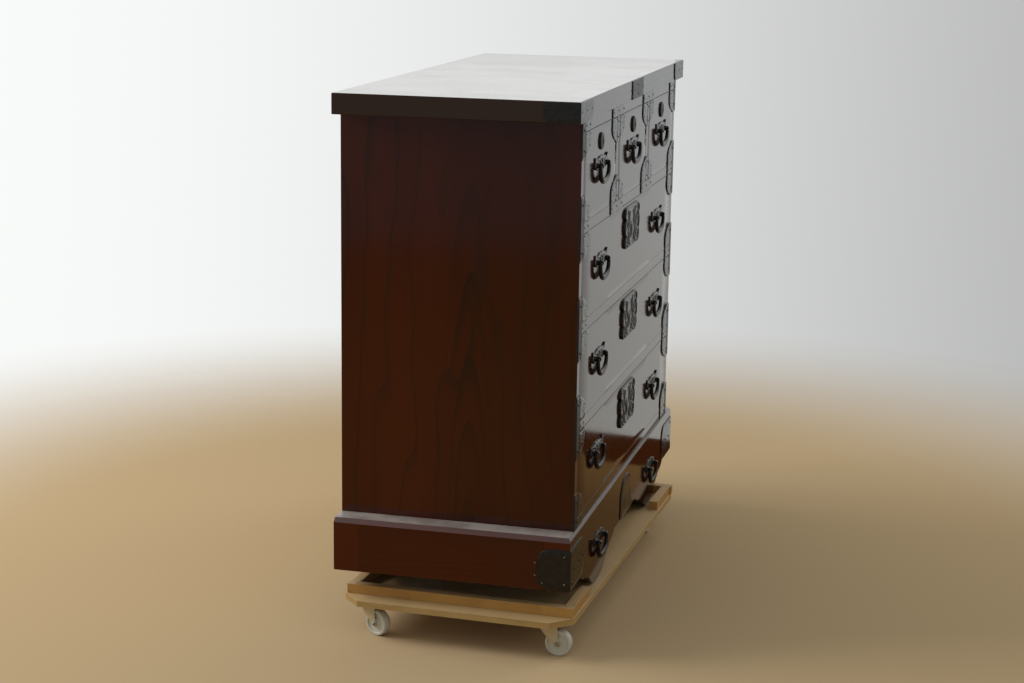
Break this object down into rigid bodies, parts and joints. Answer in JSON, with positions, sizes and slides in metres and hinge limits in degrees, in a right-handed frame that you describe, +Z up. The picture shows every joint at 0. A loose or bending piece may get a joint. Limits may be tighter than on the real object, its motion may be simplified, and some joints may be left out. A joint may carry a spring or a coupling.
{
  "type": "wheeled tansu chest",
  "caption": "Lacquered wooden tansu chest of sliding drawers with black iron corner plates, lock plates and swinging bail handles, its footed plinth standing on a wheeled dolly.",
  "frame": {"origin": "on the floor, at the centre of the bounding box seen from above", "axes": "+X to the right along the drawers, +Y from the drawer fronts to the back, +Z up"},
  "size_m": [1.073, 0.4986, 1.0364],
  "materials": {
    "red_brown_lacquer": "polished dark red-brown lacquer, clearly grained on the sides",
    "plain_paulownia": "plain unfinished light wood inside",
    "black_iron": "black lacquered iron sheet and rod, satin",
    "plywood": "raw pale board, birch-coloured, with a few knots",
    "pine": "raw planed pine strip",
    "zinc_plate": "zinc plated steel",
    "cream_painted_steel": "cream painted pressed steel",
    "white_nylon": "off-white nylon"
  },
  "bodies": {
    "chest_and_dolly": {"back_panel": "plain_paulownia", "batten_back_left": "pine", "batten_front_left": "pine", "batten_front_right": "pine", "batten_side_left": "pine", "batten_side_right": "pine", "bottom_board": "red_brown_lacquer", "caster_plate_back_left": "zinc_plate", "caster_plate_back_right": "zinc_plate", "caster_plate_front_left": "zinc_plate", "caster_plate_front_right": "zinc_plate", "dolly_deck": "plywood", "partition_1": "red_brown_lacquer", "partition_2": "red_brown_lacquer", "plinth_back": "red_brown_lacquer", "plinth_corner_left": "black_iron", "plinth_corner_right": "black_iron", "plinth_front": "red_brown_lacquer", "plinth_left": "red_brown_lacquer", "plinth_right": "red_brown_lacquer", "shelf_1": "red_brown_lacquer", "shelf_2": "red_brown_lacquer", "shelf_3": "red_brown_lacquer", "side_left": "red_brown_lacquer", "side_right": "red_brown_lacquer", "slab_corner_left": "black_iron", "slab_corner_right": "black_iron", "top_rail": "red_brown_lacquer", "top_slab": "red_brown_lacquer"},
    "drawer_1a": {"drawer_1a_front": "red_brown_lacquer", "drawer_1a_tray": "plain_paulownia"},
    "drawer_1a_bail": {"drawer_1a_bail": "black_iron"},
    "drawer_1b": {"drawer_1b_front": "red_brown_lacquer", "drawer_1b_tray": "plain_paulownia"},
    "drawer_1b_bail": {"drawer_1b_bail": "black_iron"},
    "drawer_1c": {"drawer_1c_front": "red_brown_lacquer", "drawer_1c_tray": "plain_paulownia"},
    "drawer_1c_bail": {"drawer_1c_bail": "black_iron"},
    "drawer_2": {"drawer_2_front": "red_brown_lacquer", "drawer_2_tray": "plain_paulownia"},
    "drawer_2_bail_1": {"drawer_2_bail_1": "black_iron"},
    "drawer_2_bail_2": {"drawer_2_bail_2": "black_iron"},
    "drawer_3": {"drawer_3_front": "red_brown_lacquer", "drawer_3_tray": "plain_paulownia"},
    "drawer_3_bail_1": {"drawer_3_bail_1": "black_iron"},
    "drawer_3_bail_2": {"drawer_3_bail_2": "black_iron"},
    "drawer_4": {"drawer_4_front": "red_brown_lacquer", "drawer_4_tray": "plain_paulownia"},
    "drawer_4_bail_1": {"drawer_4_bail_1": "black_iron"},
    "drawer_4_bail_2": {"drawer_4_bail_2": "black_iron"},
    "plinth_bail_1": {"plinth_bail_1": "black_iron"},
    "plinth_bail_2": {"plinth_bail_2": "black_iron"},
    "fork_front_left": {"caster_fork_front_left": "cream_painted_steel"},
    "wheel_front_left": {"caster_wheel_front_left": "white_nylon"},
    "fork_back_left": {"caster_fork_back_left": "cream_painted_steel"},
    "wheel_back_left": {"caster_wheel_back_left": "white_nylon"},
    "fork_front_right": {"caster_fork_front_right": "cream_painted_steel"},
    "wheel_front_right": {"caster_wheel_front_right": "white_nylon"},
    "fork_back_right": {"caster_fork_back_right": "cream_painted_steel"},
    "wheel_back_right": {"caster_wheel_back_right": "white_nylon"}
  },
  "joints": [
    {"name": "drawer_1a_slide", "type": "slide", "parent": "chest_and_dolly", "child": "drawer_1a", "axis": [0, -1, 0], "range_m": [0, 0.36]},
    {"name": "drawer_1a_bail_swing", "type": "hinge", "parent": "drawer_1a", "child": "drawer_1a_bail", "pos_m": [-0.29978, -0.21441, 0.90209], "axis": [-1, 0, 0], "range_deg": [0, 90]},
    {"name": "drawer_1b_slide", "type": "slide", "parent": "chest_and_dolly", "child": "drawer_1b", "axis": [0, -1, 0], "range_m": [0, 0.36]},
    {"name": "drawer_1b_bail_swing", "type": "hinge", "parent": "drawer_1b", "child": "drawer_1b_bail", "pos_m": [0.00955, -0.21441, 0.90209], "axis": [-1, 0, 0], "range_deg": [0, 90]},
    {"name": "drawer_1c_slide", "type": "slide", "parent": "chest_and_dolly", "child": "drawer_1c", "axis": [0, -1, 0], "range_m": [0, 0.36]},
    {"name": "drawer_1c_bail_swing", "type": "hinge", "parent": "drawer_1c", "child": "drawer_1c_bail", "pos_m": [0.31889, -0.21441, 0.90209], "axis": [-1, 0, 0], "range_deg": [0, 90]},
    {"name": "drawer_2_slide", "type": "slide", "parent": "chest_and_dolly", "child": "drawer_2", "axis": [0, -1, 0], "range_m": [0, 0.36]},
    {"name": "drawer_2_bail_1_swing", "type": "hinge", "parent": "drawer_2", "child": "drawer_2_bail_1", "pos_m": [-0.28045, -0.21441, 0.71635], "axis": [-1, 0, 0], "range_deg": [0, 90]},
    {"name": "drawer_2_bail_2_swing", "type": "hinge", "parent": "drawer_2", "child": "drawer_2_bail_2", "pos_m": [0.29955, -0.21441, 0.71635], "axis": [-1, 0, 0], "range_deg": [0, 90]},
    {"name": "drawer_3_slide", "type": "slide", "parent": "chest_and_dolly", "child": "drawer_3", "axis": [0, -1, 0], "range_m": [0, 0.36]},
    {"name": "drawer_3_bail_1_swing", "type": "hinge", "parent": "drawer_3", "child": "drawer_3_bail_1", "pos_m": [-0.28045, -0.21441, 0.5306], "axis": [-1, 0, 0], "range_deg": [0, 90]},
    {"name": "drawer_3_bail_2_swing", "type": "hinge", "parent": "drawer_3", "child": "drawer_3_bail_2", "pos_m": [0.29955, -0.21441, 0.5306], "axis": [-1, 0, 0], "range_deg": [0, 90]},
    {"name": "drawer_4_slide", "type": "slide", "parent": "chest_and_dolly", "child": "drawer_4", "axis": [0, -1, 0], "range_m": [0, 0.36]},
    {"name": "drawer_4_bail_1_swing", "type": "hinge", "parent": "drawer_4", "child": "drawer_4_bail_1", "pos_m": [-0.28045, -0.21441, 0.34485], "axis": [-1, 0, 0], "range_deg": [0, 90]},
    {"name": "drawer_4_bail_2_swing", "type": "hinge", "parent": "drawer_4", "child": "drawer_4_bail_2", "pos_m": [0.29955, -0.21441, 0.34485], "axis": [-1, 0, 0], "range_deg": [0, 90]},
    {"name": "plinth_bail_1_swing", "type": "hinge", "parent": "chest_and_dolly", "child": "plinth_bail_1", "pos_m": [-0.26045, -0.21941, 0.1596], "axis": [-1, 0, 0], "range_deg": [0, 90]},
    {"name": "plinth_bail_2_swing", "type": "hinge", "parent": "chest_and_dolly", "child": "plinth_bail_2", "pos_m": [0.27955, -0.21941, 0.1596], "axis": [-1, 0, 0], "range_deg": [0, 90]},
    {"name": "swivel_front_left", "type": "hinge", "parent": "chest_and_dolly", "child": "fork_front_left", "pos_m": [-0.49114, -0.16805, 0], "axis": [0, 0, 1], "continuous": true},
    {"name": "axle_front_left", "type": "hinge", "parent": "fork_front_left", "child": "wheel_front_left", "pos_m": [-0.49188, -0.18804, 0.025], "axis": [-0.9993, 0.0366, 0], "continuous": true},
    {"name": "swivel_back_left", "type": "hinge", "parent": "chest_and_dolly", "child": "fork_back_left", "pos_m": [-0.47813, 0.18671, 0], "axis": [0, 0, 1], "continuous": true},
    {"name": "axle_back_left", "type": "hinge", "parent": "fork_back_left", "child": "wheel_back_left", "pos_m": [-0.48662, 0.1686, 0.025], "axis": [-0.9056, 0.4242, 0], "continuous": true},
    {"name": "swivel_front_right", "type": "hinge", "parent": "chest_and_dolly", "child": "fork_front_right", "pos_m": [0.31931, -0.19777, 0], "axis": [0, 0, 1], "continuous": true},
    {"name": "axle_front_right", "type": "hinge", "parent": "fork_front_right", "child": "wheel_front_right", "pos_m": [0.29942, -0.19983, 0.025], "axis": [-0.1028, 0.9947, 0], "continuous": true},
    {"name": "swivel_back_right", "type": "hinge", "parent": "chest_and_dolly", "child": "fork_back_right", "pos_m": [0.33232, 0.15699, 0], "axis": [0, 0, 1], "continuous": true},
    {"name": "axle_back_right", "type": "hinge", "parent": "fork_back_right", "child": "wheel_back_right", "pos_m": [0.31406, 0.16516, 0.025], "axis": [0.4083, 0.9128, 0], "continuous": true}
  ]
}
